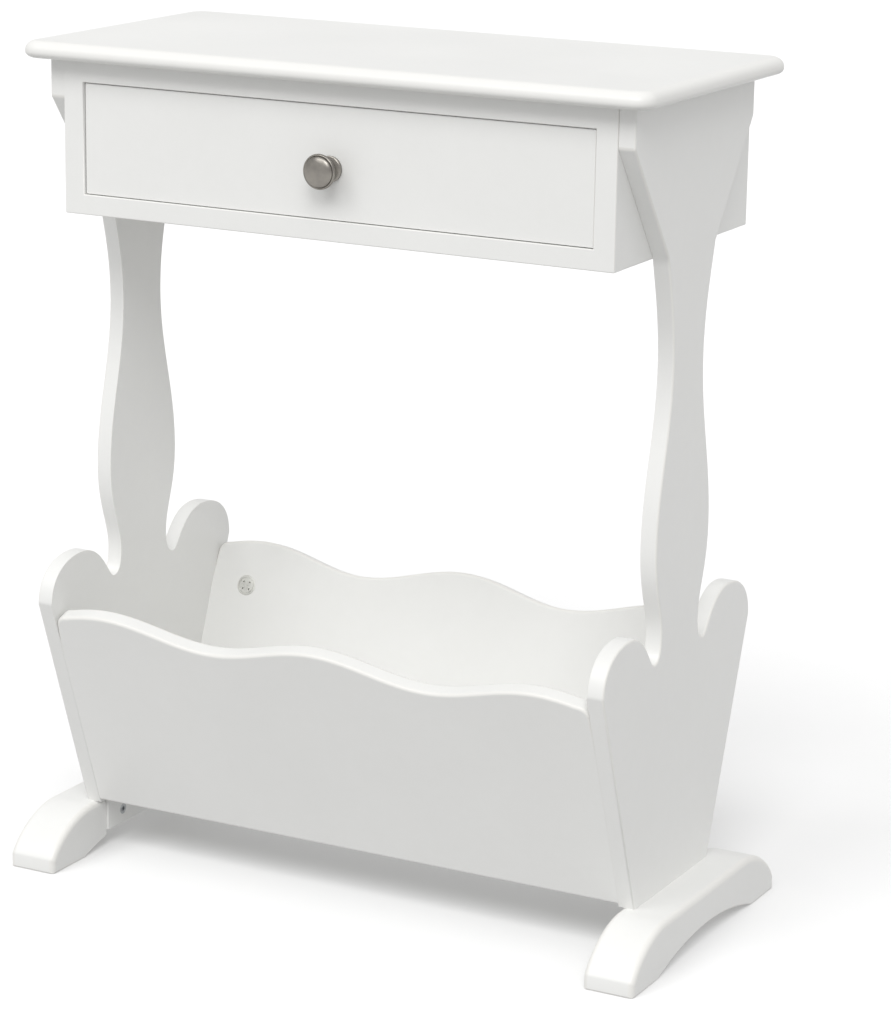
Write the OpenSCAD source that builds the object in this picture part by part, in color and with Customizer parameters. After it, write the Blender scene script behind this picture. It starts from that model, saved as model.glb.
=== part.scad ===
// Side table with one drawer over a magazine cradle.
// X runs left to right, -Y is the drawer side, Z is up, and the floor is at Z = 0.
// Y = 0 is the middle of the end panels, the cradle and the feet.

/* [Overall] */
// Height from the floor to the top of the table
total_h = 600; // [480:1:760]
// Thickness of every painted board
board_t = 12; // [9:0.5:18]

/* [Case] */
// Width of the drawer case, which is also the clear width of the cradle
case_w = 420; // [320:1:560]
// Depth of the drawer case
case_d = 214; // [190:1:280]
// Height of the drawer case
case_h = 107; // [85:1:140]
// Distance that the case front stands proud of the end panels
case_proud = 1; // [0.5:0.5:4]
// Width of the upright members of the front frame
stile_w = 15.5; // [14:0.5:30]
// Height of the lower member of the front frame
rail_low_h = 14; // [14:0.5:25]
// Height of the upper member of the front frame
rail_top_h = 15.5; // [10:0.5:25]
// Thickness of the board under the drawer
case_floor_t = 4; // [3:0.5:6]
// Distance from the bottom of the case up to that board
case_floor_up = 2; // [1:0.5:4]

/* [Top] */
// Overhang of the top past the case front
top_front = 16; // [8:0.5:30]
// Overhang of the top past the case back
top_back = 1; // [0:0.5:20]
// Overhang of the top past each side of the case
top_side = 28; // [20:0.5:40]
// Radius of the corners of the top, seen from above
top_corner_r = 14; // [7:0.5:20]

/* [End panels] */
// Depth of the upper part of an end panel
panel_d = 191; // [150:1:230]
// Length of the straight edge below the top, before the panel tapers
panel_cheek = 27; // [15:1:60]
// Half width of the post where it leaves the case
post_half = 38.4; // [30:0.2:48]
// Half width of the post at its neck
neck_half = 24.6; // [18:0.2:30]
// Distance of the neck below the case
neck_drop = 74; // [50:1:90]
// Half width of the post at its belly
belly_half = 43.3; // [34:0.2:50]
// Height of the belly above the waist of the post
belly_rise = 63; // [40:1:70]
// Half width of the post at its waist
waist_half = 30.4; // [22:0.2:34]
// Half distance between the lowest points of the two notches
notch_half = 40.2; // [36:0.2:46]
// Half distance between the tips of the two ears
ear_half = 82; // [74:0.5:90]
// Height of the ears above the ends of the cradle boards
ear_rise = 42; // [32:0.5:50]
// Depth of the notch below the tip of the ear
notch_drop = 27.5; // [22:0.5:32]
// Half width of the tongue that is let into the foot
tongue_half = 50.5; // [40:0.5:56]
// Height of the tongue's lower end above the floor
tongue_z = 13.5; // [13:0.5:20]

/* [Cradle] */
// Lean of the cradle boards from upright
lean = 20; // [12:0.5:28]
// Half width across the cradle at the lower edges of its boards
cradle_half = 61.2; // [56:0.2:80]
// Middle width of a cradle board, measured up its slope
cradle_board_w = 162; // [130:1:190]
// Height of the waves along the upper edge of a board, from their middle line
wave_amp = 7.3; // [0:0.1:10]
// Length of one wave
wave_len = 170; // [100:1:260]
// Radius of the upper corners of a cradle board
cradle_corner_r = 9; // [1:0.5:15]
// Gap between the cradle boards and the top of the feet
cradle_gap = 1.5; // [1:0.5:6]
// Height of the cradle floor above the lower edges of the boards
cradle_floor_up = 6.5; // [5:0.5:20]

/* [Feet] */
// Length of a foot, front to back
foot_len = 241; // [220:1:300]
// Thickness of a foot
foot_t = 37.5; // [30:0.5:50]
// Height of a foot
foot_h = 38; // [34:0.5:50]
// Height of the upright end face of a foot
toe_h = 9.5; // [5:0.5:14]
// Length of the rounded part at each end of a foot
toe_len = 54; // [40:1:60]
// Height of the arch under a foot
arch_h = 13; // [6:0.5:13]
// Half width of the arch under a foot
arch_half = 80; // [60:1:90]
// Distance that the tongue stands proud of the foot's inner face
tongue_proud = 2; // [0.5:0.5:3]
// Clearance of the tongue in its housing
tongue_gap = 0.3; // [0.1:0.1:0.6]

/* [Drawer] */
// Gap round the drawer front
drawer_gap = 0.6; // [0.5:0.1:3]
// Distance that the drawer front sits back from the case front
drawer_recess = 1.8; // [0:0.1:3]
// Depth of the drawer from its front face to its back
drawer_len = 193; // [160:1:250]
// Thickness of the drawer's sides and back
drawer_side_t = 10; // [9:0.5:12]
// Clearance of the drawer under, over and beside its runners
slide_gap = 0.5; // [0.3:0.1:1]
// Distance from the top of the opening down to the kickers
kicker_drop = 3; // [0:0.5:8]
// Thickness of the drawer bottom
drawer_floor_t = 3; // [2.5:0.5:5]
// Height of the drawer bottom above the lower edges of the sides
drawer_floor_up = 8; // [6:0.5:14]
// Depth of the grooves that hold the drawer bottom
groove_d = 4; // [3:0.5:5]
// Clearance of the drawer bottom in its grooves
groove_gap = 0.2; // [0.1:0.1:0.5]
// Travel of the drawer
drawer_travel = 150; // [100:1:170]
// Width of a runner and of a kicker
runner_w = 20; // [17:0.5:30]
// Height of the guide lip above the running surface
guide_h = 20; // [10:1:30]

/* [Knob] */
// Diameter of the knob's head
knob_d = 24; // [18:0.5:32]
// Diameter of the knob's base plate
knob_base_d = 17.6; // [14:0.2:22]
// Distance that the knob projects from the drawer front
knob_len = 20; // [16:0.5:26]
// Distance of the knob below the middle of the drawer front
knob_drop = 4; // [0:0.5:15]

/* [Fasteners] */
// Diameter of a cam lock
cam_d = 15; // [12:0.5:15]
// Depth of a cam lock
cam_t = 10; // [8:0.5:10]
// Distance of a cam lock from the end of its board
cam_in = 30; // [24:1:40]
// Diameter of a cam bolt's shank
cam_bolt_d = 6; // [5:0.5:7]
// Diameter of the dowels in the boards
dowel_d = 8; // [6:0.5:8]
// Diameter of the dowels in the drawer
small_dowel_d = 6; // [5:0.5:6]
// Length of a dowel in the board that it runs along
dowel_long = 20; // [15:1:25]
// Length of a dowel in the board that it crosses
dowel_short = 9; // [7:0.5:9]
// Diameter of the screws
screw_d = 3.5; // [3:0.5:4]
// Diameter of the screw heads
screw_head_d = 7; // [6:0.5:8]
// Diameter of the foot bolts
foot_bolt_d = 5; // [4:0.5:6]
// Diameter of the foot bolts' heads
foot_bolt_head_d = 8; // [7:0.5:10]
// Half distance between the two bolts of a foot
foot_bolt_half = 31; // [20:1:36]
// Diameter of the knob's screw
knob_screw_d = 4; // [3:0.5:5]

/* [Hidden] */

paint = "#E9E9E7";
bare_wood = "#C9A777";
hardboard = "#8A6B4A";
nickel = "#9A9792";
zinc = "#C4C5C1";

$fn = 48;
curve_n = 20;        // steps along each curve of an outline
turned_n = 8;        // steps along each curve of a turned profile
wave_n = 42;         // steps along half of the wavy edge of a cradle board
over = 1;            // overrun of a cutting shape past the face that it opens

// Case and top
case_x = case_w / 2;
case_top = total_h - board_t;
case_low = case_top - case_h;
case_front = -(panel_d / 2 + case_proud);
case_rear = case_front + case_d;
case_in_x = case_x - board_t;
case_in_front = case_front + board_t;
case_in_rear = case_rear - board_t;
floor_low = case_low + case_floor_up;
floor_high = floor_low + case_floor_t;
top_w = case_w + 2 * top_side;
top_d = case_d + top_front + top_back;
top_y = (case_rear + top_back + case_front - top_front) / 2;
edge_r = board_t / 2;

// Opening for the drawer
open_x = case_x - stile_w;
open_low = case_low + rail_low_h;
open_high = case_top - rail_top_h;
kicker_low = open_high - kicker_drop;

// Drawer
drawer_y = case_front + drawer_recess;
drawer_in_y = drawer_y + board_t;
drawer_rear = drawer_y + drawer_len;
drawer_out_x = open_x - 2 * slide_gap;
drawer_in_x = drawer_out_x - drawer_side_t;
side_low = open_low + slide_gap;
side_high = kicker_low - slide_gap;
front_low = open_low + drawer_gap;
front_high = open_high - drawer_gap;
front_x = open_x - drawer_gap;
bottom_low = side_low + drawer_floor_up;
knob_z = (front_low + front_high) / 2 - knob_drop;
stop_gap = 1;        // space between the closed drawer and its stops

// End panels and cradle
panel_x = case_x + board_t;
cradle_z = foot_h + cradle_gap;
slope_out = tan(lean);
board_skin = board_t / cos(lean);
board_top_z = cradle_z + cradle_board_w * cos(lean);
ear_z = board_top_z + ear_rise;
notch_z = ear_z - notch_drop;
waist_z = notch_z + 17.5;
belly_z = waist_z + belly_rise;
neck_z = case_low - neck_drop;
post_z = case_low + 2.5;
cheek_z = case_top - panel_cheek;
cradle_floor_z = cradle_z + cradle_floor_up;

// Feet
foot_in_x = case_x + tongue_proud;
arch_r = (arch_half * arch_half + arch_h * arch_h) / (2 * arch_h);
foot_bolt_z = (tongue_z + foot_h) / 2 - 2;

// Fasteners
foot_bolt_len = 32;
foot_bolt_head_h = 3;
case_screw_len = 20;
runner_screw_len = 26;
top_screw_len = 20;
top_screw_wood = 10;     // wood of the kicker between the top screw's head and the top
top_screw_sunk = case_top - kicker_low - top_screw_wood;
case_dowel_inset = 22;   // from the case's upper and lower faces
back_dowel_len = 24;
side_flip = -1;          // a board's local X points to the left
cam_board_z = [30, 134]; // heights of the cam locks on a cradle board, up its slope
cam_floor_half = 28;
cradle_dowel_z = 84;
drawer_screw_len = 28;
drawer_dowel_inset = 16;
knob_bore = 12;          // depth of the threaded hole in the knob

// Points along a cubic curve with end points p[0] and p[3], without its first point
function curve(p, steps = curve_n) = [for (i = [1:steps]) let (t = i / steps, s = 1 - t)
    s * s * s * p[0] + 3 * s * s * t * p[1] + 3 * s * t * t * p[2] + t * t * t * p[3]];

// A half outline and its mirror image in one closed list
function both_halves(half) = concat(half, [for (i = [len(half) - 1:-1:0]) [-half[i].x, half[i].y]]);

// Y of the outer face of the cradle boards at a height
function cradle_y(z) = cradle_half + (z - cradle_z) * slope_out;

// ---- shared shapes ----

// Lays an outline drawn in Y and Z on the YZ plane and makes it thick along +X
module along_x(thick) {
    rotate([90, 0, 90]) linear_extrude(thick) children();
}

// Repeats its children on the left and the right
module both_sides() {
    children();
    mirror([1, 0, 0]) children();
}

// Local frame of a cradle board: Y runs up its outer face and Z goes into the wood
module on_board(side) {
    mirror([0, side > 0 ? 1 : 0, 0]) translate([0, -cradle_half, cradle_z]) rotate([90 - lean, 0, 180])
        children();
}

module rod(d, length) {
    cylinder(h = length, d = d);
}

// Countersunk screw: head flush with Z = 0, shank going down
module screw(length) {
    head_h = (screw_head_d - screw_d) / 2;
    translate([0, 0, -head_h]) cylinder(h = head_h, d1 = screw_d, d2 = screw_head_d);
    translate([0, 0, -length]) rod(screw_d, length);
}

// The same screw with a cross recess
module screw_piece(length) {
    difference() {
        screw(length);
        cross_recess(screw_head_d * 0.6, 1.6);
    }
}

// Cross recess sunk from Z = 0
module cross_recess(span, deep) {
    wide = span * 0.24;
    for (turn = [0, 90])
        rotate([0, 0, turn]) translate([-span / 2, -wide / 2, -deep]) cube([span, wide, deep + over]);
}

// ---- top ----

// The edge is rounded all round, as a half circle as high as the board is thick
module top_board() {
    flat_r = top_corner_r - edge_r;
    color(paint) translate([0, top_y, total_h - edge_r]) difference() {
        union() {
            translate([0, 0, -edge_r]) linear_extrude(board_t) {
                square([top_w - 2 * edge_r, top_d - 2 * top_corner_r], center = true);
                square([top_w - 2 * top_corner_r, top_d - 2 * edge_r], center = true);
                for (sx = [-1, 1], sy = [-1, 1])
                    translate([sx * (top_w / 2 - top_corner_r), sy * (top_d / 2 - top_corner_r)])
                        circle(flat_r);
            }
            for (sx = [-1, 1]) translate([sx * (top_w / 2 - edge_r), 0, 0])
                rotate([90, 0, 0]) cylinder(h = top_d - 2 * top_corner_r, r = edge_r, center = true);
            for (sy = [-1, 1]) translate([0, sy * (top_d / 2 - edge_r), 0])
                rotate([0, 90, 0]) cylinder(h = top_w - 2 * top_corner_r, r = edge_r, center = true);
            for (sx = [-1, 1], sy = [-1, 1])
                translate([sx * (top_w / 2 - top_corner_r), sy * (top_d / 2 - top_corner_r), 0])
                    rotate_extrude() intersection() {
                        translate([flat_r, 0]) circle(edge_r);
                        translate([0, -edge_r]) square([top_corner_r, board_t]);
                    }
        }
        translate([0, -top_y, edge_r - total_h]) top_screw_places() screw(top_screw_len);
    }
}

// ---- case ----

module front_frame() {
    color(paint) difference() {
        translate([-case_x, case_front, case_low]) cube([case_w, board_t, case_h]);
        translate([-open_x, case_front - over, open_low])
            cube([2 * open_x, board_t + 2 * over, open_high - open_low]);
        case_dowel_places() rod(dowel_d, dowel_short + dowel_long);
    }
}

module case_side() {
    color(paint) difference() {
        translate([case_in_x, case_in_front, case_low]) cube([board_t, case_rear - case_in_front, case_h]);
        case_dowel_places() rod(dowel_d, dowel_short + dowel_long);
        case_back_dowel_places() rod(dowel_d, back_dowel_len);
        case_screw_places() screw(case_screw_len);
        runner_screw_places() screw(runner_screw_len);
    }
}

module case_side_right() {
    case_side();
}

module case_side_left() {
    mirror([1, 0, 0]) case_side();
}

module case_back() {
    color(paint) difference() {
        translate([-case_in_x, case_in_rear, case_low]) cube([2 * case_in_x, board_t, case_h]);
        case_back_dowel_places() rod(dowel_d, back_dowel_len);
    }
}

module case_floor() {
    color(hardboard) translate([-case_in_x, case_in_front, floor_low])
        cube([2 * case_in_x, case_in_rear - case_in_front, case_floor_t]);
}

// The runner carries the drawer side, and its lip keeps the drawer straight
module drawer_runner() {
    lip_x = open_x;
    color(bare_wood) difference() {
        translate([0, case_in_rear, 0]) rotate([90, 0, 0]) linear_extrude(case_in_rear - case_in_front)
            polygon([[case_in_x - runner_w, floor_high], [case_in_x, floor_high],
                [case_in_x, open_low + guide_h], [lip_x, open_low + guide_h],
                [lip_x, open_low], [case_in_x - runner_w, open_low]]);
        runner_screw_places() screw(runner_screw_len);
    }
}

module drawer_runner_right() {
    drawer_runner();
}

module drawer_runner_left() {
    mirror([1, 0, 0]) drawer_runner();
}

// The kicker keeps the open drawer from tipping, and the top is screwed on through it
module drawer_kicker() {
    kicker_y = drawer_in_y + slide_gap;
    color(bare_wood) difference() {
        translate([case_in_x - runner_w, kicker_y, kicker_low])
            cube([runner_w, case_in_rear - kicker_y, case_top - kicker_low]);
        runner_screw_places() screw(runner_screw_len);
        top_screw_places() {
            screw(top_screw_len);
            rod(screw_head_d, top_screw_sunk + over);
        }
    }
}

module drawer_kicker_right() {
    drawer_kicker();
}

module drawer_kicker_left() {
    mirror([1, 0, 0]) drawer_kicker();
}

module drawer_stops() {
    stop_w = drawer_side_t;
    stop_h = 24;
    stop_y = drawer_rear + stop_gap;
    color(bare_wood) both_sides() translate([drawer_in_x, stop_y, open_low + slide_gap])
        cube([stop_w, case_in_rear - stop_y, stop_h]);
}

// ---- end panels ----

// Each reach is the distance from an end of a curve to its handle.
// The ear starts upright, so a crease shows where it leaves the sloping edge.
module panel_outline() {
    shoulder = cradle_y(foot_h);
    ear_z0 = board_top_z + 10.5;
    ear_y0 = cradle_y(ear_z0);
    ear_side_reach = 19;
    ear_top_reach = 24;
    ear_fall_reach = 28;
    notch_reach = 6.8;
    waist_reach = 11;
    belly_low_reach = 0.3 * belly_rise;
    belly_high_reach = 0.5 * belly_rise;
    neck_reach = 0.37 * (neck_z - belly_z);
    post_reach = 28;
    post_flare = 7.8;
    half = concat(
        [[tongue_half, tongue_z], [tongue_half, foot_h], [shoulder, foot_h], [ear_y0, ear_z0]],
        curve([[ear_y0, ear_z0], [ear_y0, ear_z0 + ear_side_reach],
            [ear_half + ear_top_reach, ear_z], [ear_half, ear_z]]),
        curve([[ear_half, ear_z], [ear_half - ear_fall_reach, ear_z],
            [notch_half + notch_reach, notch_z], [notch_half, notch_z]]),
        curve([[notch_half, notch_z], [notch_half - notch_reach, notch_z],
            [waist_half, waist_z - waist_reach], [waist_half, waist_z]]),
        curve([[waist_half, waist_z], [waist_half, waist_z + belly_low_reach],
            [belly_half, belly_z - belly_high_reach], [belly_half, belly_z]]),
        curve([[belly_half, belly_z], [belly_half, belly_z + neck_reach],
            [neck_half, neck_z - neck_reach], [neck_half, neck_z]]),
        curve([[neck_half, neck_z], [neck_half, neck_z + post_reach],
            [post_half - post_flare, post_z - post_reach], [post_half, post_z]]),
        [[panel_d / 2, cheek_z], [panel_d / 2, case_top]]);
    polygon(both_halves(half));
}

module end_panel() {
    color(paint) difference() {
        translate([case_x, 0, 0]) along_x(board_t) panel_outline();
        case_screw_places() screw(case_screw_len);
        cam_places() cam_bolt();
        floor_cam_places() cam_bolt();
        cradle_dowel_places() rod(dowel_d, dowel_short + dowel_long);
        foot_bolt_places() foot_bolt_hole();
    }
}

module end_panel_right() {
    end_panel();
}

module end_panel_left() {
    mirror([1, 0, 0]) end_panel();
}

// ---- cradle ----

// Height of a board's upper edge, measured up its slope
function wave_z(x) = cradle_board_w + wave_amp * cos(360 * x / wave_len);

module board_outline() {
    corner_x = case_x - cradle_corner_r;
    corner_z = wave_z(corner_x) - cradle_corner_r;
    corner_n = 10;
    half = concat([[case_x, 0]],
        [for (i = [0:corner_n]) let (a = 90 * i / corner_n)
            [corner_x + cradle_corner_r * cos(a), corner_z + cradle_corner_r * sin(a)]],
        [for (i = [1:wave_n]) let (x = corner_x * (1 - i / wave_n)) [x, wave_z(x)]]);
    polygon(both_halves(half));
}

module cradle_board(side) {
    color(paint) difference() {
        on_board(side) linear_extrude(board_t) board_outline();
        both_sides() cam_places() cam_cut();
        both_sides() cradle_dowel_places() rod(dowel_d, dowel_short + dowel_long);
    }
}

module cradle_front_board() {
    cradle_board(-1);
}

module cradle_back_board() {
    cradle_board(1);
}

// The floor's long edges are cut to the lean of the boards
module cradle_floor() {
    low_half = cradle_y(cradle_floor_z) - board_skin;
    high_half = cradle_y(cradle_floor_z + board_t) - board_skin;
    color(paint) difference() {
        translate([-case_x, 0, 0]) along_x(case_w)
            polygon([[-low_half, cradle_floor_z], [low_half, cradle_floor_z],
                [high_half, cradle_floor_z + board_t], [-high_half, cradle_floor_z + board_t]]);
        both_sides() floor_cam_places() cam_cut();
        both_sides() cradle_dowel_places() rod(dowel_d, dowel_short + dowel_long);
    }
}

// ---- feet ----

module foot_outline() {
    half_len = foot_len / 2;
    arch_turn = asin(arch_half / arch_r);
    arch_steps = 16;
    toe_reach = [-4.8, 11.5];
    crown_reach = 26;
    half = concat(
        [for (i = [0:arch_steps]) let (a = arch_turn * i / arch_steps)
            [arch_r * sin(a), arch_h - arch_r * (1 - cos(a))]],
        [[half_len, 0], [half_len, toe_h]],
        curve([[half_len, toe_h], [half_len, toe_h] + toe_reach,
            [half_len - toe_len + crown_reach, foot_h], [half_len - toe_len, foot_h]]));
    polygon(both_halves(half));
}

module foot() {
    housing_half = tongue_half + tongue_gap;
    color(paint) difference() {
        translate([foot_in_x, 0, 0]) along_x(foot_t) foot_outline();
        translate([foot_in_x - over, -housing_half, -over])
            cube([panel_x - foot_in_x + over, 2 * housing_half, foot_h + 2 * over]);
        foot_bolt_places() foot_bolt_hole();
    }
}

module foot_right() {
    foot();
}

module foot_left() {
    mirror([1, 0, 0]) foot();
}

// ---- fasteners ----

// A place for each thing is a frame whose +Z points along the fastener, from its outer end inwards

// Bolt through the tongue into the foot, its head on the tongue's inner face
module foot_bolt_places() {
    for (y = [-foot_bolt_half, foot_bolt_half])
        translate([case_x, y, foot_bolt_z]) rotate([0, 90, 0]) children();
}

module foot_bolt_hole() {
    translate([0, 0, -over]) rod(foot_bolt_d, foot_bolt_len + over);
    translate([0, 0, -over]) rod(foot_bolt_head_d, foot_bolt_head_h + over);
}

module foot_bolts() {
    socket_d = foot_bolt_d * 0.8;
    color(zinc) both_sides() foot_bolt_places() difference() {
        union() {
            rod(foot_bolt_d, foot_bolt_len);
            rod(foot_bolt_head_d, foot_bolt_head_h);
        }
        translate([0, 0, -over]) cylinder(h = 2 + over, d = socket_d, $fn = 6);
    }
}

// Cam bolt: threaded into the end panel, with its head in the cam lock
module cam_bolt() {
    thread = 9;
    head = 5;
    translate([0, 0, cam_in - head]) rod(cam_bolt_d + 1, head);
    rod(cam_bolt_d - 2, cam_in);
    translate([0, 0, -thread]) rod(cam_bolt_d - 1, thread);
    rod(cam_bolt_d, 3);
}

// Frames at the board's end with +Z running into the board and +X towards the face with the lock
module cam_places() {
    for (side = [-1, 1], up = cam_board_z) on_board(side)
        translate([side_flip * case_x, up, board_t / 2]) rotate([0, -side_flip * 90, 0])
            rotate([0, 0, 180]) children();
}

module floor_cam_places() {
    for (y = [-cam_floor_half, cam_floor_half])
        translate([case_x, y, cradle_floor_z + board_t / 2]) rotate([0, -90, 0]) rotate([0, 0, 180])
            children();
}

// Room for a cam lock and its bolt: the lock's pocket opens towards +X of its place
module cam_cut() {
    translate([0, 0, -over]) rod(cam_bolt_d + 1, cam_in + over);
    cam_body(over);
}

module cam_body(extra) {
    translate([board_t / 2 - cam_t, 0, cam_in]) rotate([0, 90, 0]) rod(cam_d, cam_t + extra);
}

module cam_lock() {
    difference() {
        cam_body(0);
        rod(cam_bolt_d + 1, cam_in + 1);
        translate([board_t / 2, 0, cam_in]) rotate([0, 90, 0]) cross_recess(cam_d * 0.55, 1.8);
    }
}

module cradle_cam_locks() {
    color(zinc) both_sides() cam_places() cam_lock();
}

module floor_cam_locks() {
    color(zinc) both_sides() floor_cam_places() cam_lock();
}

module cradle_cam_bolts() {
    color(zinc) both_sides() cam_places() cam_bolt();
}

module floor_cam_bolts() {
    color(zinc) both_sides() floor_cam_places() cam_bolt();
}

// Dowels between the end panels and the cradle boards and floor
module cradle_dowel_places() {
    for (side = [-1, 1]) on_board(side)
        translate([side_flip * (case_x + dowel_short), cradle_dowel_z, board_t / 2])
            rotate([0, -side_flip * 90, 0]) children();
    translate([case_x + dowel_short, 0, cradle_floor_z + board_t / 2]) rotate([0, -90, 0]) children();
}

module cradle_dowels() {
    color(bare_wood) both_sides() cradle_dowel_places() rod(dowel_d, dowel_short + dowel_long);
}

// Dowels between the front frame and the case sides
module case_dowel_places() {
    middle = (case_low + case_top) / 2;
    for (x = [-1, 1], z = [case_low + case_dowel_inset, middle, case_top - case_dowel_inset])
        translate([x * (case_x - board_t / 2), case_in_front - dowel_short, z])
            rotate([-90, 0, 0]) children();
}

// Dowels between the case sides and the case back
module case_back_dowel_places() {
    for (x = [-1, 1], z = [case_low + case_dowel_inset, case_top - case_dowel_inset])
        translate([x * (case_in_x + dowel_short), case_rear - board_t / 2, z])
            rotate([0, -x * 90, 0]) children();
}

module case_dowels() {
    color(bare_wood) {
        case_dowel_places() rod(dowel_d, dowel_short + dowel_long);
        case_back_dowel_places() rod(dowel_d, back_dowel_len);
    }
}

// Screws from inside the case into the end panels
module case_screw_places() {
    z = (open_low + guide_h + kicker_low) / 2;
    for (y = [-50, 0, 50])
        translate([case_in_x, y, z]) rotate([0, -90, 0]) children();
}

module case_screws() {
    color(zinc) both_sides() case_screw_places() screw_piece(case_screw_len);
}

// Screws through the runners and kickers into the case sides
module runner_screw_places() {
    runner_z = (floor_high + open_low) / 2;
    kicker_z = (kicker_low + case_top) / 2 + 2;
    for (y = [case_in_front + 30, case_in_rear - 30], z = [runner_z, kicker_z])
        translate([case_in_x - runner_w, y, z]) rotate([0, -90, 0]) children();
}

module runner_screws() {
    color(zinc) both_sides() runner_screw_places() screw_piece(runner_screw_len);
}

// Screws up through the kickers into the top
module top_screw_places() {
    for (y = [case_in_front + 50, (case_in_front + case_in_rear) / 2, case_in_rear - 50], x = [-1, 1])
        translate([x * (case_in_x - runner_w / 2), y, kicker_low + top_screw_sunk])
            rotate([180, 0, 0]) children();
}

module top_screws() {
    color(zinc) top_screw_places() screw_piece(top_screw_len);
}

// ---- drawer ----

module bottom_panel(extra) {
    translate([-(drawer_in_x + groove_d - groove_gap) - extra, drawer_in_y - groove_d + groove_gap - extra,
            bottom_low - extra])
        cube([2 * (drawer_in_x + groove_d - groove_gap + extra),
            drawer_rear - drawer_side_t - drawer_in_y + 2 * (groove_d - groove_gap + extra),
            drawer_floor_t + 2 * extra]);
}

module drawer_front() {
    color(paint) difference() {
        translate([-front_x, drawer_y, front_low]) cube([2 * front_x, board_t, front_high - front_low]);
        bottom_panel(groove_gap);
        drawer_dowel_places() rod(small_dowel_d, dowel_short + dowel_long);
        knob_screw_place() rod(knob_screw_d, board_t + 2 * over);
    }
}

module drawer_side() {
    color(bare_wood) difference() {
        translate([drawer_in_x, drawer_in_y, side_low])
            cube([drawer_side_t, drawer_rear - drawer_in_y, side_high - side_low]);
        bottom_panel(groove_gap);
        drawer_dowel_places() rod(small_dowel_d, dowel_short + dowel_long);
        drawer_screw_places() screw(drawer_screw_len);
    }
}

module drawer_side_right() {
    drawer_side();
}

module drawer_side_left() {
    mirror([1, 0, 0]) drawer_side();
}

module drawer_back() {
    color(bare_wood) difference() {
        translate([-drawer_in_x, drawer_rear - drawer_side_t, side_low])
            cube([2 * drawer_in_x, drawer_side_t, side_high - side_low]);
        bottom_panel(groove_gap);
        both_sides() drawer_screw_places() screw(drawer_screw_len);
    }
}

module drawer_bottom() {
    color(hardboard) bottom_panel(0);
}

module drawer_dowel_places() {
    for (x = [-1, 1], z = [side_low + drawer_dowel_inset + drawer_floor_up, side_high - drawer_dowel_inset])
        translate([x * (drawer_in_x + drawer_side_t / 2), drawer_in_y - dowel_short, z])
            rotate([-90, 0, 0]) children();
}

module drawer_dowels() {
    color(bare_wood) drawer_dowel_places() rod(small_dowel_d, dowel_short + dowel_long);
}

module drawer_screw_places() {
    for (z = [side_low + drawer_dowel_inset + drawer_floor_up, side_high - drawer_dowel_inset])
        translate([drawer_out_x, drawer_rear - drawer_side_t / 2, z]) rotate([0, 90, 0]) children();
}

module drawer_screws() {
    color(zinc) both_sides() drawer_screw_places() screw_piece(drawer_screw_len);
}

// ---- knob ----

// Frame on the drawer's front face: +Z points out of the drawer
module knob_place() {
    translate([0, drawer_y, knob_z]) rotate([90, 0, 0]) children();
}

// Frame inside the drawer front: +Z points forwards through it
module knob_screw_place() {
    translate([0, drawer_in_y + over, knob_z]) rotate([90, 0, 0]) children();
}

// Turned knob: base, waist, flaring neck, rim and shallow domed head, as [radius, height]
module drawer_knob() {
    head_r = knob_d / 2;
    base_r = knob_base_d / 2;
    waist = [base_r - 1.6, 0.23 * knob_len];
    neck = [base_r - 0.8, 0.4 * knob_len];
    under = [head_r - 1.5, 0.68 * knob_len];
    rim = [head_r, 0.8 * knob_len];
    base_h = 1.5;
    half = concat(
        [[0, 0], [base_r, 0], [base_r, base_h]],
        curve([[base_r, base_h], [base_r - 0.9, base_h + 0.5], waist - [0, 1.6], waist], turned_n),
        curve([waist, waist + [0, 1.4], neck - [0.4, 1], neck], turned_n),
        curve([neck, neck + [0.6, 1.6], under - [1.1, 1.8], under], turned_n),
        curve([under, under + [0.9, 0.6], rim - [0, 1], rim], turned_n),
        curve([rim, rim + [0, 1.8], [head_r * 0.55, knob_len], [0, knob_len]], turned_n));
    color(nickel) knob_place() difference() {
        rotate_extrude() polygon(half);
        translate([0, 0, -over]) rod(knob_screw_d, knob_bore + over);
    }
}

module knob_screw() {
    head_h = 2.4;
    length = board_t + knob_bore - 1;
    color(zinc) translate([0, drawer_in_y, knob_z]) rotate([90, 0, 0]) difference() {
        union() {
            rod(knob_screw_d, length);
            translate([0, 0, -head_h]) rod(knob_screw_d * 2, head_h);
        }
        translate([0, 0, -head_h]) rotate([180, 0, 0]) cross_recess(knob_screw_d * 1.1, 1.4);
    }
}

top_board();
front_frame();
case_side_left();
case_side_right();
case_back();
case_floor();
drawer_runner_left();
drawer_runner_right();
drawer_kicker_left();
drawer_kicker_right();
drawer_stops();
end_panel_left();
end_panel_right();
cradle_front_board();
cradle_back_board();
cradle_floor();
foot_left();
foot_right();
foot_bolts();
cradle_cam_locks();
cradle_cam_bolts();
cradle_dowels();
floor_cam_locks();
floor_cam_bolts();
case_dowels();
case_screws();
runner_screws();
top_screws();
drawer_front();
drawer_side_left();
drawer_side_right();
drawer_back();
drawer_bottom();
drawer_dowels();
drawer_screws();
drawer_knob();
knob_screw();
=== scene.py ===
import math

import bmesh
import bpy
from mathutils import Matrix, Vector


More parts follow.
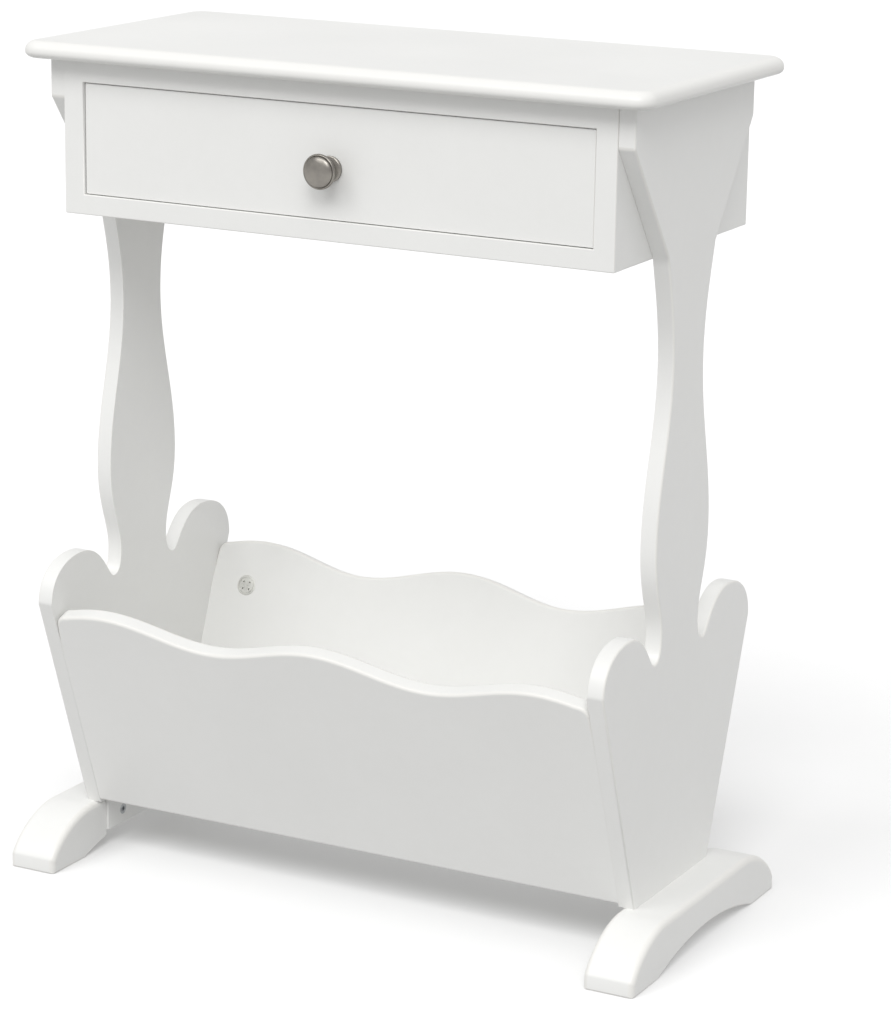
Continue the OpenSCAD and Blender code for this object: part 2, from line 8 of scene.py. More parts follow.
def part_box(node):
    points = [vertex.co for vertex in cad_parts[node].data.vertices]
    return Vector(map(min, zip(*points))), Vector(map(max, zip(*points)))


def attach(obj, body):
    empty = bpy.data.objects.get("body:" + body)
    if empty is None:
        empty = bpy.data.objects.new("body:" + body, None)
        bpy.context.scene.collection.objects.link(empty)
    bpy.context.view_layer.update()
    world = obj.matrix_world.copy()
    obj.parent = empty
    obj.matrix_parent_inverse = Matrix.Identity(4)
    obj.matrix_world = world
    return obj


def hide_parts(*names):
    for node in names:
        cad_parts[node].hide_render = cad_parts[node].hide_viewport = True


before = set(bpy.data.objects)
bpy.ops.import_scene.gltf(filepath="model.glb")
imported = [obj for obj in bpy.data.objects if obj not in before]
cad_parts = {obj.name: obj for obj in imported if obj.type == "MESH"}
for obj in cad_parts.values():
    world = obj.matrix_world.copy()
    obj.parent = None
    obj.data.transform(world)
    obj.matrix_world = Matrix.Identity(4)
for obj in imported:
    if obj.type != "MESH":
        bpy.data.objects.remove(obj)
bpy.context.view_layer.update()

MM = 0.001
X, Y, Z = 0, 1, 2


# ---------------------------------------------------------------- materials

def linear(code):
    """An sRGB hex colour as linear red, green, blue and alpha."""
    parts = [int(code[i:i + 2], 16) / 255 for i in (1, 3, 5)]
    return [c / 12.92 if c <= 0.04045 else ((c + 0.055) / 1.055) ** 2.4 for c in parts] + [1.0]


def add(tree, kind, sockets=(), **settings):
    """Adds a node with its settings. A socket's value is a constant, or (node, output) to link."""
    node = tree.nodes.new(kind)
    for name, value in settings.items():
        setattr(node, name, value)
    for key, value in dict(sockets).items():
        if isinstance(value, tuple) and isinstance(value[0], bpy.types.Node):
            tree.links.new(value[0].outputs[value[1]], node.inputs[key])
        else:
            node.inputs[key].default_value = value
    return node


MIX_FIRST, MIX_SECOND, MIX_RESULT = 6, 7, 2      # a colour mix's sockets


def per_mm(size):
    """The scale of a pattern whose parts are that many millimetres across."""
    return 1 / (size * MM)


def new_finish(name):
    """An empty node material with its coordinates, which are the object's own metres."""
    finish = bpy.data.materials.new(name)
    finish.use_nodes = True
    tree = finish.node_tree
    tree.nodes.clear()
    return finish, tree, add(tree, "ShaderNodeTexCoord")


def noise(tree, place, size, detail=2.0, rough=0.5):
    return add(tree, "ShaderNodeTexNoise", {
        "Vector": place, "Scale": per_mm(size), "Detail": detail, "Roughness": rough})


def between(tree, factor, low, high):
    """A number that runs from low to high as the pattern does."""
    return add(tree, "ShaderNodeMapRange", {
        "Value": factor, "From Min": 0.3, "From Max": 0.7, "To Min": low, "To Max": high})


def tinted(tree, factor, first, second):
    """A colour that runs from the first hex colour to the second as the pattern does."""
    mix = add(tree, "ShaderNodeMix", {
        0: factor, MIX_FIRST: linear(first), MIX_SECOND: linear(second)}, data_type="RGBA")
    return mix, MIX_RESULT


def over_colour(tree, factor, under, colour):
    """A hex colour laid over another colour as strongly as the factor says."""
    mix = add(tree, "ShaderNodeMix", {
        0: factor, MIX_FIRST: under, MIX_SECOND: linear(colour)}, data_type="RGBA")
    return mix, MIX_RESULT


def surface(tree, sockets):
    shader = add(tree, "ShaderNodeBsdfPrincipled", sockets)
    add(tree, "ShaderNodeOutputMaterial", {"Surface": (shader, "BSDF")})


def satin_lacquer():
    """White satin lacquer sprayed on fibreboard: a bright, faintly cloudy white with a soft sheen.
    The spray leaves a fine orange peel. The coat is thinner and a little warmer on the arrises."""
    finish, tree, place = new_finish("satin_lacquer")
    here = (place, "Object")
    clouds = noise(tree, here, 140, 3.0)
    specks = noise(tree, here, 9, 4.0, 0.65)
    # The peel of a spray coat is about 1 mm; it is drawn at 3.5 mm, as coarse as it needs to show.
    peel = noise(tree, here, 3.5, 2.0)
    base = tinted(tree, (between(tree, (clouds, "Fac"), 0, 1), "Result"), "#E7E7E5", "#EBEBE9")
    dusty = over_colour(
        tree, (between(tree, (specks, "Fac"), 0.0, 0.10), "Result"), base, "#DEDEDA")
    arris = add(tree, "ShaderNodeAttribute", attribute_name="arris")
    thin = add(tree, "ShaderNodeMath", {0: (arris, "Fac"), 1: 0.22}, operation="MULTIPLY")
    worn = over_colour(tree, (thin, "Value"), dusty, "#E4DFD6")
    bump = add(tree, "ShaderNodeBump", {
        "Height": (peel, "Fac"), "Strength": 0.10, "Distance": 0.05 * MM})
    surface(tree, {
        "Base Color": worn, "Metallic": 0.0, "IOR": 1.5,
        "Roughness": (between(tree, (clouds, "Fac"), 0.34, 0.42), "Result"),
        "Normal": (bump, "Normal")})
    return finish


def white_foil():
    """White foil on particle board, for the drawer box: flat white, pressed with a fine grain that
    runs along the boards, and duller than the lacquer."""
    finish, tree, place = new_finish("white_foil")
    stretch = add(tree, "ShaderNodeMapping", {
        "Vector": (place, "Object"), "Scale": (1.0, 0.06, 1.0)})
    grain = noise(tree, (stretch, "Vector"), 1.6, 3.0, 0.6)
    clouds = noise(tree, (place, "Object"), 80)
    base = tinted(tree, (between(tree, (grain, "Fac"), 0, 1), "Result"), "#DFDFDC", "#E7E7E4")
    bump = add(tree, "ShaderNodeBump", {
        "Height": (grain, "Fac"), "Strength": 0.25, "Distance": 0.06 * MM})
    surface(tree, {
        "Base Color": base, "Metallic": 0.0, "IOR": 1.5,
        "Roughness": (between(tree, (clouds, "Fac"), 0.45, 0.56), "Result"),
        "Normal": (bump, "Normal")})
    return finish


def white_hardboard():
    """Hardboard with a printed white face: smooth and dull, with short pale fibres in it."""
    finish, tree, place = new_finish("white_hardboard")
    here = (place, "Object")
    fibres = add(tree, "ShaderNodeTexVoronoi", {"Vector": here, "Scale": per_mm(2.2)},
                 feature="DISTANCE_TO_EDGE")
    clouds = noise(tree, here, 45, 4.0)
    base = tinted(tree, (between(tree, (clouds, "Fac"), 0, 1), "Result"), "#DCDBD6", "#E3E2DE")
    thread = add(tree, "ShaderNodeMapRange", {
        "Value": (fibres, "Distance"), "From Min": 0.0, "From Max": 0.08,
        "To Min": 0.25, "To Max": 0.0})
    flecked = over_colour(tree, (thread, "Result"), base, "#CFCDC5")
    bump = add(tree, "ShaderNodeBump", {
        "Height": (clouds, "Fac"), "Strength": 0.15, "Distance": 0.1 * MM})
    surface(tree, {
        "Base Color": flecked, "Metallic": 0.0, "IOR": 1.46,
        "Roughness": (between(tree, (clouds, "Fac"), 0.5, 0.62), "Result"),
        "Normal": (bump, "Normal")})
    return finish


def wood(name, growth, along, pale, dark, rough):
    """Bare wood whose grain runs along one axis: rings growth mm apart, with fine pores between."""
    finish, tree, place = new_finish(name)
    scale = [1.0, 1.0, 1.0]
    scale[along] = 0.05
    stretch = add(tree, "ShaderNodeMapping", {"Vector": (place, "Object"), "Scale": scale})
    rings = noise(tree, (stretch, "Vector"), growth, 2.0, 0.4)
    pores = noise(tree, (stretch, "Vector"), 0.7, 3.0, 0.7)
    base = tinted(tree, (between(tree, (rings, "Fac"), 0, 1), "Result"), pale, dark)
    pored = over_colour(tree, (between(tree, (pores, "Fac"), 0.0, 0.3), "Result"), base, dark)
    bump = add(tree, "ShaderNodeBump", {
        "Height": (pores, "Fac"), "Strength": 0.35, "Distance": 0.1 * MM})
    surface(tree, {
        "Base Color": pored, "Metallic": 0.0, "IOR": 1.5,
        "Roughness": (between(tree, (rings, "Fac"), rough - 0.05, rough + 0.08), "Result"),
        "Normal": (bump, "Normal")})
    return finish


def planed_pine():
    """Planed, unfinished pine for the runners: straight yellow and brown bands along the length."""
    return wood("planed_pine", 5.0, Y, "#D9BC8A", "#B98F58", 0.6)


def turned_beech():
    """Beech dowel: even pinkish tan with short dark pores, cut dry and dull."""
    return wood("turned_beech", 2.5, X, "#CDA779", "#A87F54", 0.62)


def satin_nickel():
    """Satin nickel plate on a turned knob: warm grey metal, with the fine rings that the
    polishing wheel leaves and a slightly uneven sheen."""
    finish, tree, place = new_finish("satin_nickel")
    here = (place, "Object")
    turn_lines = add(tree, "ShaderNodeMapping", {"Vector": here, "Scale": (0.25, 1.0, 0.25)})
    rings = noise(tree, (turn_lines, "Vector"), 0.6, 3.0, 0.6)
    clouds = noise(tree, here, 6, 3.0)
    base = tinted(tree, (between(tree, (clouds, "Fac"), 0, 1), "Result"), "#86827D", "#949089")
    bump = add(tree, "ShaderNodeBump", {
        "Height": (rings, "Fac"), "Strength": 0.12, "Distance": 0.03 * MM})
    surface(tree, {
        "Base Color": base, "Metallic": 1.0,
        "Roughness": (between(tree, (clouds, "Fac"), 0.30, 0.40), "Result"),
        "Normal": (bump, "Normal")})
    return finish


def zinc_casting():
    """Tumbled zinc casting for the cam locks: pale grey, softly pitted and a little blotchy."""
    finish, tree, place = new_finish("zinc_casting")
    here = (place, "Object")
    pits = add(tree, "ShaderNodeTexVoronoi", {"Vector": here, "Scale": per_mm(0.9)})
    clouds = noise(tree, here, 3.5, 4.0, 0.6)
    base = tinted(tree, (between(tree, (clouds, "Fac"), 0, 1), "Result"), "#DEDEDA", "#E8E8E4")
    bump = add(tree, "ShaderNodeBump", {
        "Height": (pits, "Distance"), "Strength": 0.3, "Distance": 0.05 * MM})
    surface(tree, {
        "Base Color": base, "Metallic": 1.0,
        "Roughness": (between(tree, (clouds, "Fac"), 0.42, 0.58), "Result"),
        "Normal": (bump, "Normal")})
    return finish


def bright_zinc():
    """Bright zinc plate on steel screws: bluish white metal with cloudy patches and drawn lines."""
    finish, tree, place = new_finish("bright_zinc")
    here = (place, "Object")
    clouds = noise(tree, here, 4, 4.0, 0.6)
    lines = noise(tree, here, 0.5, 2.0)
    base = tinted(tree, (between(tree, (clouds, "Fac"), 0, 1), "Result"), "#B9BCBF", "#CDCFD0")
    bump = add(tree, "ShaderNodeBump", {
        "Height": (lines, "Fac"), "Strength": 0.15, "Distance": 0.03 * MM})
    surface(tree, {
        "Base Color": base, "Metallic": 1.0,
        "Roughness": (between(tree, (clouds, "Fac"), 0.25, 0.4), "Result"),
        "Normal": (bump, "Normal")})
    return finish


def floor_paper():
    """Matt white paper under the table, even and without a sheen."""
    finish, tree, place = new_finish("floor_paper")
    tooth = noise(tree, (place, "Object"), 60, 3.0)
    base = tinted(tree, (between(tree, (tooth, "Fac"), 0, 1), "Result"), "#F9F9F9", "#FAFAFA")
    surface(tree, {"Base Color": base, "Roughness": 1.0, "Specular IOR Level": 0.0})
    return finish


lacquer = satin_lacquer()
foil = white_foil()
hardboard = white_hardboard()
pine = planed_pine()
beech = turned_beech()
nickel = satin_nickel()
casting = zinc_casting()
zinc = bright_zinc()


# ---------------------------------------------------------------- making pieces

SHARP = math.radians(28)     # a corner this sharp is an arris, and gets rounded
CREASE = math.radians(14)    # a corner this sharp shows as a line on a rounded board
FLAT = math.radians(0.5)     # faces this close to one plane are one face
TURNED_LINE = math.radians(50)   # a corner this sharp shows on a turned or moulded shape
CAST_LINE = math.radians(34)     # a corner this sharp shows on a casting or a rounding
BORE_SPAN = 24 * MM          # a closed rim smaller than this is round a bore
POCKET_SPAN = 19 * MM        # a bore's rim larger than this is a cam lock's pocket
BORE_ARRIS = 0.4 * MM        # broken edge of a cam lock's pocket
FINE_ARRIS = 0.4 * MM        # broken edge of a face that other boards stand against
LOOKS_DOWN = -0.3            # a face whose normal's Z is lower than this looks down
WELD = 0.002 * MM            # corners closer than this are one corner


def place_piece(mesh, name, finish, slot, body, *nodes):
    """Puts a mesh in the scene as a piece that rides on a body and stands for those CAD nodes."""
    mesh.materials.clear()
    mesh.materials.append(finish)
    piece = bpy.data.objects.new(name, mesh)
    bpy.context.scene.collection.objects.link(piece)
    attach(piece, body)
    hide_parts(*nodes)
    return piece


def chains(edges):
    """The edges in groups that hang together."""
    left, groups = set(edges), []
    while left:
        group, front = set(), [left.pop()]
        while front:
            edge = front.pop()
            group.add(edge)
            for vert in edge.verts:
                for other in vert.link_edges:
                    if other in left:
                        left.remove(other)
                        front.append(other)
        groups.append(group)
    return groups


def box_of(points):
    """The lowest and the highest corner of a box round the points."""
    return (Vector(min(p[i] for p in points) for i in range(3)),
            Vector(max(p[i] for p in points) for i in range(3)))


def span(group):
    low, high = box_of([vert.co for edge in group for vert in edge.verts])
    return (high - low).length


def in_planes(edge, planes):
    """Whether an edge lies in one of the planes, each given as (axis, place)."""
    return any(all(abs(vert.co[axis] - at) < WELD for vert in edge.verts) for axis, at in planes)


def looks_down(edge):
    return any(face.normal.z < LOOKS_DOWN for face in edge.link_faces)


def dressed(node, name, finish, slot, body, arris, square=(), fine=(), under=None, steps=3,
            sunk=None):
    """A board as the joiner leaves it: the CAD node's shape with its arrises rounded to a radius.
    Edges in the square planes meet another board and stay sharp, as do those below the height
    sunk, which are let into another board. Edges in the fine planes are only just broken. Under
    is the radius of the edges that look down."""
    shape = bmesh.new()
    shape.from_mesh(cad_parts[node].data)
    layer = shape.edges.layers.float.new("bevel_weight_edge")
    bmesh.ops.remove_doubles(shape, verts=shape.verts, dist=WELD)
    bmesh.ops.dissolve_limit(shape, angle_limit=FLAT, verts=shape.verts,
                             edges=shape.edges, use_dissolve_boundaries=False)
    shape.normal_update()
    sharp = [e for e in shape.edges if len(e.link_faces) == 2 and e.calc_face_angle(0) > SHARP]
    radius = {}
    for group in chains(sharp):
        size = span(group)
        for edge in group:
            if not edge.is_convex or in_planes(edge, square):
                continue
            if sunk is not None and all(vert.co.z < sunk + WELD for vert in edge.verts):
                continue
            if size < BORE_SPAN:
                if size > POCKET_SPAN:
                    radius[edge] = BORE_ARRIS
                continue
            if in_planes(edge, fine):
                radius[edge] = FINE_ARRIS
            else:
                radius[edge] = under if under is not None and looks_down(edge) else arris
    widest = max([arris, under or 0])
    for edge, value in radius.items():
        edge[layer] = value / widest
    rough = bpy.data.meshes.new(name + "_rough")
    shape.to_mesh(rough)
    shape.free()
    rough.materials.clear()
    rough.materials.append(finish)
    rough.materials.append(finish)
    holder = bpy.data.objects.new(name + "_rough", rough)
    bpy.context.scene.collection.objects.link(holder)
    for face in rough.polygons:
        face.material_index = 0
    rounding = holder.modifiers.new("rounding", "BEVEL")
    rounding.limit_method = "WEIGHT"
    rounding.width = widest
    rounding.segments = steps
    rounding.use_clamp_overlap = False
    rounding.material = 1
    rounding.miter_outer = "MITER_SHARP"
    bpy.context.view_layer.update()
    graph = bpy.context.evaluated_depsgraph_get()
    mesh = bpy.data.meshes.new_from_object(holder.evaluated_get(graph))
    mesh.name = name
    bpy.data.objects.remove(holder)
    bpy.data.meshes.remove(rough)
    flats = mark_arrises(mesh)
    smooth(mesh, CAST_LINE)
    mark_creases(mesh, flats)
    keep_flats(place_piece(mesh, name, finish, slot, body, node))


def mark_arrises(mesh):
    """Marks the middle of each rounded edge, and returns the faces that are not part of one."""
    on_flat = [False] * len(mesh.vertices)
    flats = [face for face in mesh.polygons if face.material_index == 0]
    for face in flats:
        for vert in face.vertices:
            on_flat[vert] = True
    for face in mesh.polygons:
        face.material_index = 0
    attribute = mesh.attributes.new("arris", "FLOAT", "POINT")
    attribute.data.foreach_set("value", [0.0 if flat else 1.0 for flat in on_flat])
    return flats


def mark_creases(mesh, flats):
    """Keeps the lines where two runs of an edge meet at a slight angle."""
    first = {}
    creases = set()
    for face in flats:
        for key in face.edge_keys:
            if key not in first:
                first[key] = face.normal
            elif first[key].angle(face.normal, 0) > CREASE:
                creases.add(key)
    for edge in mesh.edges:
        if edge.key in creases:
            edge.use_edge_sharp = True


def smooth(mesh, line):
    """Shades a mesh smoothly, but for corners sharper than line."""
    for face in mesh.polygons:
        face.use_smooth = True
    mesh.set_sharp_from_angle(angle=line)


def keep_flats(piece):
    """Makes the flat faces shade flat, with the turn of the normals kept inside the roundings."""
    piece.modifiers.new("flat faces stay flat", "WEIGHTED_NORMAL").keep_sharp = True


def keep(node, finish):
    """A CAD node that stays as it is, in its real finish."""
    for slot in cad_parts[node].material_slots:
        slot.material = finish


# ---------------------------------------------------------------- boards of the table

FRAME_ARRIS, CASE_ARRIS, PANEL_ARRIS = 0.7 * MM, 1.0 * MM, 1.7 * MM
WAVE_ARRIS, SHELF_ARRIS = 2.4 * MM, 0.8 * MM
FOOT_ARRIS, FOOT_UNDER = 4.5 * MM, 1.5 * MM
BATTEN_ARRIS, THIN_ARRIS = 0.5 * MM, 0.3 * MM
FRONT_ARRIS, FOIL_ARRIS = 0.4 * MM, 0.6 * MM

_, frame_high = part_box("front_frame")
side_low, side_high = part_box("case_side_right")
case_top = side_high.z
board_low, board_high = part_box("cradle_front_board")
_, foot_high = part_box("foot_right")
panel_low, panel_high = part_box("end_panel_right")
housing = min(abs(vert.co.y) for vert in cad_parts["foot_right"].data.vertices
              if vert.co.z > foot_high.z - WELD and vert.co.x < panel_high.x)

PAINT = (lacquer, "painted_board")
dressed("front_frame", "front_frame_painted", *PAINT, "table", FRAME_ARRIS, [(Y, frame_high.y)])
for hand, way in (("left", -1), ("right", 1)):
    dressed("case_side_" + hand, "case_side_painted_" + hand, *PAINT, "table", CASE_ARRIS,
            [(Y, side_low.y), (Z, case_top)])
    dressed("end_panel_" + hand, "end_panel_painted_" + hand, *PAINT, "table", PANEL_ARRIS,
            [(Z, case_top)], fine=[(X, way * panel_low.x)], steps=4, sunk=foot_high.z)
    dressed("foot_" + hand, "foot_painted_" + hand, *PAINT, "table", FOOT_ARRIS,
            [(X, way * panel_high.x), (Y, -housing), (Y, housing)], under=FOOT_UNDER, steps=5)
    for batten in ("runner", "kicker"):
        dressed(f"drawer_{batten}_{hand}", f"{batten}_planed_{hand}", pine, "bare_wood", "table",
                BATTEN_ARRIS)
dressed("case_back", "case_back_painted", *PAINT, "table", CASE_ARRIS,
        [(Z, case_top), (X, -side_low.x), (X, side_low.x)])
dressed("case_floor", "case_floor_faced", hardboard, "hardboard", "table", THIN_ARRIS)
dressed("drawer_stops", "drawer_stops_planed", pine, "bare_wood", "table", BATTEN_ARRIS)
for side in ("front", "back"):
    dressed(f"cradle_{side}_board", f"cradle_{side}_painted", *PAINT, "table", WAVE_ARRIS,
            [(X, board_low.x), (X, board_high.x)], steps=4)
dressed("cradle_floor", "cradle_floor_painted", *PAINT, "table", SHELF_ARRIS,
        [(X, board_low.x), (X, board_high.x)])


# ---------------------------------------------------------------- top

def rounded_outline(low, high, inset, corner, steps=10):
    """A rectangle seen from above, drawn in by inset, with rounded corners."""
    radius = max(corner - inset, FINE_ARRIS)
    x0, y0 = low.x + inset + radius, low.y + inset + radius
    x1, y1 = high.x - inset - radius, high.y - inset - radius
    points = []
    for quarter, (x, y) in enumerate([(x1, y1), (x0, y1), (x0, y0), (x1, y0)]):
        for i in range(steps + 1):
            turn = (quarter + i / steps) * math.pi / 2
            points.append((x + radius * math.cos(turn), y + radius * math.sin(turn)))
    return points


def quarter_curve(wide, tall, steps):
    """A quarter of an ellipse as (inset, rise) from the widest point to the flat face."""
    turns = [i / steps * math.pi / 2 for i in range(steps + 1)]
    return [(wide * (1 - math.cos(turn)), tall * math.sin(turn)) for turn in turns]


def moulded_board(low, high, corner, upper, lower):
    """A board whose edge is moulded all round: upper and lower are each (how far in, how tall)."""
    below = [(inset, low.z + lower[1] - rise) for inset, rise in quarter_curve(*lower, 8)][::-1]
    above = [(inset, high.z - upper[1] + rise) for inset, rise in quarter_curve(*upper, 12)]
    shape = bmesh.new()
    rings = []
    for inset, z in below + above:
        outline = rounded_outline(low, high, inset, corner)
        rings.append([shape.verts.new((x, y, z)) for x, y in outline])
    for lower_ring, upper_ring in zip(rings, rings[1:]):
        for i in range(len(lower_ring)):
            j = (i + 1) % len(lower_ring)
            shape.faces.new((lower_ring[i], lower_ring[j], upper_ring[j], upper_ring[i]))
    shape.faces.new(rings[0][::-1])
    shape.faces.new(rings[-1])
    mesh = bpy.data.meshes.new("top")
    shape.to_mesh(mesh)
    shape.free()
    around = len(rings[0])
    worn = [0.5 if 0 < i // around < len(rings) - 1 else 0.0 for i in range(len(mesh.vertices))]
    mesh.attributes.new("arris", "FLOAT", "POINT").data.foreach_set("value", worn)
    smooth(mesh, TURNED_LINE)
    return mesh


TOP_CORNER = 14.5 * MM
TOP_UPPER = (8.5 * MM, 7 * MM)      # the moulding above the widest point: how far in, how tall
TOP_LOWER = (6 * MM, 4.5 * MM)      # the moulding below it
keep_flats(place_piece(moulded_board(*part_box("top_board"), TOP_CORNER, TOP_UPPER, TOP_LOWER),
                       "top_moulded", *PAINT, "table", "top_board"))


# ---------------------------------------------------------------- drawer

_, front_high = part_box("drawer_front")
dressed("drawer_front", "drawer_front_painted", *PAINT, "drawer", FRONT_ARRIS,
        [(Y, front_high.y)])
for part in ("side_left", "side_right", "back"):
    dressed("drawer_" + part, f"drawer_{part}_foiled", foil, "drawer_wood", "drawer", FOIL_ARRIS)
dressed("drawer_bottom", "drawer_bottom_faced", hardboard, "hardboard", "drawer", THIN_ARRIS)


# ---------------------------------------------------------------- knob

def arc(start, middle, end, steps):
    """Points along a curve from start to end that leans towards middle, without its first."""
    points = []
    for i in range(1, steps + 1):
        t = i / steps
        points.append(tuple(
            (1 - t) ** 2 * a + 2 * t * (1 - t) * b + t * t * c
            for a, b, c in zip(start, middle, end)))
    return points


def knob_profile(radius, length, base):
    """The turned outline as (radius, distance from the drawer), in metres: a hollow above the
    base, a flaring neck, and a shallow dome inside a narrow stepped rim."""
    step = 0.35 * MM
    waist = (base - 1.6 * MM, 0.23 * length)
    neck = (base - 0.8 * MM, 0.40 * length)
    under = (radius - 1.5 * MM, 0.68 * length)
    rim = (radius, 0.76 * length)
    points = [(0, 0), (base - 0.3 * MM, 0), (base, 0.3 * MM), (base, 1.5 * MM)]
    points += arc(points[-1], (waist[0], 2.1 * MM), waist, 10)
    points += arc(waist, (waist[0], neck[1] - 1.6 * MM), neck, 8)
    points += arc(neck, (neck[0] + 0.9 * MM, under[1] - 2.4 * MM), under, 10)
    points += arc(under, (radius, under[1] + 0.5 * MM), rim, 10)
    points += arc(rim, (radius, rim[1] + 1.0 * MM), (radius - 0.9 * MM, rim[1] + 1.3 * MM), 8)
    dome_r, dome_z = points[-1][0] - 0.5 * MM, points[-1][1] - step
    points += [(dome_r + 0.15 * MM, dome_z + 0.5 * step), (dome_r, dome_z)]
    rise, steps = length - dome_z, 28
    for i in range(1, steps):
        turn = i / steps * math.pi / 2
        points.append((dome_r * math.cos(turn), dome_z + rise * math.sin(turn)))
    return points + [(0, length)]


def turned(profile, around=96):
    """A turned shape: the profile as (radius, height) spun about Z."""
    shape = bmesh.new()
    rings = []
    for radius, z in profile:
        if radius < 1e-7:
            rings.append([shape.verts.new((0, 0, z))])
            continue
        rings.append([shape.verts.new((
            radius * math.cos(i / around * math.tau), radius * math.sin(i / around * math.tau), z))
            for i in range(around)])
    for inner, outer in zip(rings, rings[1:]):
        for i in range(around):
            j = (i + 1) % around
            corners = [inner[i % len(inner)], inner[j % len(inner)],
                       outer[j % len(outer)], outer[i % len(outer)]]
            unique = list(dict.fromkeys(corners))
            shape.faces.new(unique)
    bmesh.ops.recalc_face_normals(shape, faces=shape.faces)
    return shape


KNOB_BASE = 8.8 * MM      # radius of the plate against the drawer
low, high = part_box("drawer_knob")
knob_shape = turned(knob_profile((high.x - low.x) / 2, high.y - low.y, KNOB_BASE))
knob_shape.transform(Matrix.Translation(((low.x + high.x) / 2, high.y, (low.z + high.z) / 2))
                     @ Matrix.Rotation(math.radians(90), 4, "X"))
knob_mesh = bpy.data.meshes.new("knob")
knob_shape.to_mesh(knob_mesh)
knob_shape.free()
smooth(knob_mesh, TURNED_LINE)
place_piece(knob_mesh, "knob_turned", nickel, "satin_nickel", "drawer", "drawer_knob")


# ---------------------------------------------------------------- cam locks

def box_shape(wide, deep, tall):
    shape = bmesh.new()
    bmesh.ops.create_cube(shape, size=1)
    bmesh.ops.scale(shape, vec=(wide, deep, tall), verts=shape.verts)
    return shape


def to_object(shape, name):
    mesh = bpy.data.meshes.new(name)
    shape.to_mesh(mesh)
    shape.free()
    holder = bpy.data.objects.new(name, mesh)
    bpy.context.scene.collection.objects.link(holder)
    return holder


def lock_mesh(radius, deep):
    """A cam lock with its face at Z = 0: a rim, a ring groove, a cross recess and four holes."""
    rim, ring = radius - 1.1 * MM, radius - 1.6 * MM
    sunk = 0.45 * MM
    profile = [(0, -deep), (radius, -deep), (radius, -0.35 * MM), (radius - 0.1 * MM, -0.12 * MM),
               (radius - 0.35 * MM, 0), (rim, 0), (rim - 0.1 * MM, -sunk * 0.5),
               (rim - 0.1 * MM, -sunk), (ring - 0.1 * MM, -sunk), (ring - 0.2 * MM, -0.1 * MM),
               (ring - 0.45 * MM, 0), (0, 0)]
    body = to_object(turned(profile, 64), "lock")
    cutters = []
    for turn in (0, 90):
        cross = box_shape(radius * 0.7, 1.1 * MM, 0.8 * MM)
        cross.transform(Matrix.Rotation(math.radians(turn), 4, "Z"))
        cutters.append(to_object(cross, "cross"))
    hole, down = 0.75 * MM, 1.8 * MM
    for quarter in range(4):
        angle = (quarter + 0.5) * math.pi / 2
        drilled = turned([(0, -down), (hole, -down), (hole, down), (0, down)], 20)
        drilled.transform(Matrix.Translation(
            (math.cos(angle) * radius * 0.5, math.sin(angle) * radius * 0.5, 0)))
        cutters.append(to_object(drilled, "drilled"))
    for cutter in cutters:
        cut = body.modifiers.new("cut", "BOOLEAN")
        cut.operation, cut.object, cut.solver = "DIFFERENCE", cutter, "EXACT"
    bpy.context.view_layer.update()
    graph = bpy.context.evaluated_depsgraph_get()
    mesh = bpy.data.meshes.new_from_object(body.evaluated_get(graph))
    for done in [body, *cutters]:
        bpy.data.objects.remove(done)
    return mesh


def islands(node):
    """The middle of each separate solid in a CAD node."""
    shape = bmesh.new()
    shape.from_mesh(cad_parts[node].data)
    bmesh.ops.remove_doubles(shape, verts=shape.verts, dist=WELD)
    left, middles = set(shape.verts), []
    while left:
        group, front = [], [left.pop()]
        while front:
            vert = front.pop()
            group.append(vert.co.copy())
            for edge in vert.link_edges:
                other = edge.other_vert(vert)
                if other in left:
                    left.remove(other)
                    front.append(other)
        low, high = box_of(group)
        middles.append((low + high) / 2)
    shape.free()
    return middles


def main_normal(node):
    """The direction that a board's widest face looks in."""
    shape = bmesh.new()
    shape.from_mesh(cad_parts[node].data)
    normal = max(shape.faces, key=lambda face: face.calc_area()).normal.copy()
    shape.free()
    return normal


LOCK_R, LOCK_DEEP = 7.5 * MM, 10 * MM


def set_locks(node, name, direction_of):
    """Sets a lock at each place in the node, its face flush with the board."""
    pattern = lock_mesh(LOCK_R, LOCK_DEEP)
    shape = bmesh.new()
    for middle in islands(node):
        out = direction_of(middle)
        face = middle + out * LOCK_DEEP / 2
        across = Vector((1, 0, 0))
        along = out.cross(across)
        turn = Matrix((across, along, out)).transposed().to_4x4()
        one = bmesh.new()
        one.from_mesh(pattern)
        one.transform(Matrix.Translation(face) @ turn)
        part = bpy.data.meshes.new("part")
        one.to_mesh(part)
        one.free()
        shape.from_mesh(part)
        bpy.data.meshes.remove(part)
    mesh = bpy.data.meshes.new(name)
    shape.to_mesh(mesh)
    shape.free()
    smooth(mesh, CAST_LINE)
    keep_flats(place_piece(mesh, name, casting, "zinc_casting", "table", node))


lean = abs(main_normal("cradle_back_board").normalized().z)
inward = math.sqrt(1 - lean * lean)
set_locks("cradle_cam_locks", "cradle_locks",
          lambda at: Vector((0, -math.copysign(inward, at.y), lean)))
set_locks("floor_cam_locks", "floor_locks", lambda at: Vector((0, 0, -1)))


# ---------------------------------------------------------------- fasteners

for node in ("cradle_cam_bolts", "floor_cam_bolts", "foot_bolts", "case_screws", "runner_screws",
             "top_screws", "drawer_screws", "knob_screw"):
    keep(node, zinc)
for node in ("cradle_dowels", "case_dowels", "drawer_dowels"):
    keep(node, beech)


# ---------------------------------------------------------------- studio

def floor_plane(half):
    """White paper. It throws no light back at the table: the room's lower half does that."""
    shape = bmesh.new()
    bmesh.ops.create_grid(shape, x_segments=2, y_segments=2, size=half)
    plane = to_object(shape, "studio_floor")
    plane.data.materials.append(floor_paper())
    plane.visible_diffuse = False
    plane.visible_shadow = False


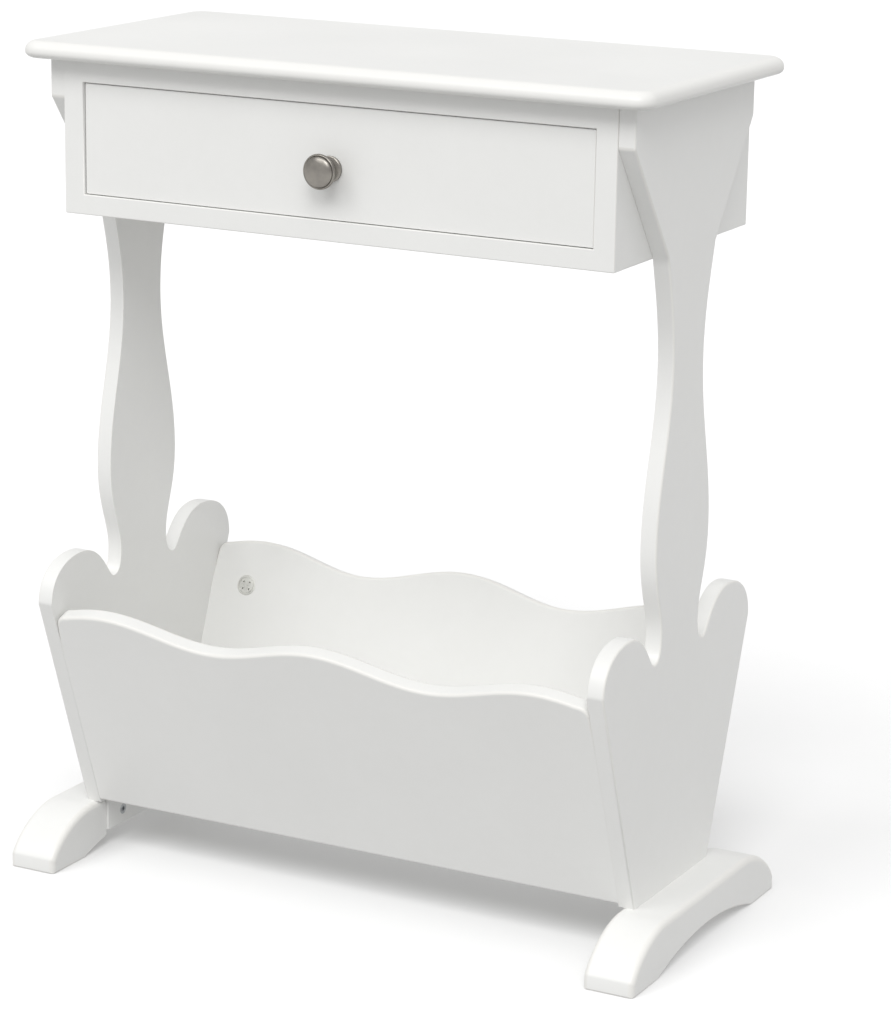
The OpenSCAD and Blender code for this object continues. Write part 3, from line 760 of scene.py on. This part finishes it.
def soft_sun(name, bearing, height, power, softness):
    """A wide, even light. Bearing is in degrees to the right of the table's front, height is in
    degrees above the horizon, and power is what a white board facing it sends back."""
    lamp = bpy.data.lights.new(name, "SUN")
    lamp.energy = power * math.pi
    lamp.angle = math.radians(softness)
    holder = bpy.data.objects.new(name, lamp)
    turn, tilt = math.radians(bearing), math.radians(height)
    towards = Vector((math.sin(turn) * math.cos(tilt), -math.cos(turn) * math.cos(tilt),
                      math.sin(tilt)))
    holder.rotation_mode = "QUATERNION"
    holder.rotation_quaternion = towards.to_track_quat("Z", "Y")
    bpy.context.scene.collection.objects.link(holder)


def soft_room(below, above):
    """An even white room: how bright it is under the horizon, and over it."""
    blend = 0.02
    room = bpy.data.worlds.new("room")
    bpy.context.scene.world = room
    room.use_nodes = True
    tree = room.node_tree
    tree.nodes.clear()
    ray = add(tree, "ShaderNodeTexCoord")
    height = add(tree, "ShaderNodeSeparateXYZ", {"Vector": (ray, "Generated")})
    grey = add(tree, "ShaderNodeMapRange", {
        "Value": (height, "Z"), "From Min": -blend, "From Max": blend,
        "To Min": below, "To Max": above})
    glow = add(tree, "ShaderNodeBackground", {"Color": (grey, "Result"), "Strength": 1.0})
    add(tree, "ShaderNodeOutputWorld", {"Surface": (glow, "Background")})


FLOOR_HALF = 40                    # metres: far enough that its edge is never seen
SUN_HEIGHT, SUN_WIDTH = 45, 30     # degrees
floor_plane(FLOOR_HALF)
soft_sun("key", 25, SUN_HEIGHT, 0.38, SUN_WIDTH)
soft_sun("second", -25, SUN_HEIGHT, 0.22, SUN_WIDTH)
soft_room(0.49, 0.72)


# ---------------------------------------------------------------- camera

SENSOR = 36                            # mm
LENS = 122.61                          # mm
STAND = (1.1260, -2.0663, 0.8920)      # where the camera is, in metres
AIM = (27.72, 14.63, 0.90)             # azimuth, elevation and roll in degrees
azimuth, elevation, roll = (math.radians(angle) for angle in AIM)
back = Vector((math.sin(azimuth) * math.cos(elevation), -math.cos(azimuth) * math.cos(elevation),
               math.sin(elevation)))
level = Vector((math.cos(azimuth), math.sin(azimuth), 0))
upright = back.cross(level)
right = level * math.cos(roll) + upright * math.sin(roll)
lens = bpy.data.cameras.new("camera")
lens.sensor_width = SENSOR
lens.lens = LENS
lens.clip_end = 5 * FLOOR_HALF
camera = bpy.data.objects.new("camera", lens)
turn = Matrix((right, back.cross(right), back)).transposed().to_4x4()
camera.matrix_world = Matrix.Translation(STAND) @ turn
bpy.context.scene.collection.objects.link(camera)
bpy.context.scene.camera = camera
bpy.context.scene.view_settings.view_transform = "Standard"
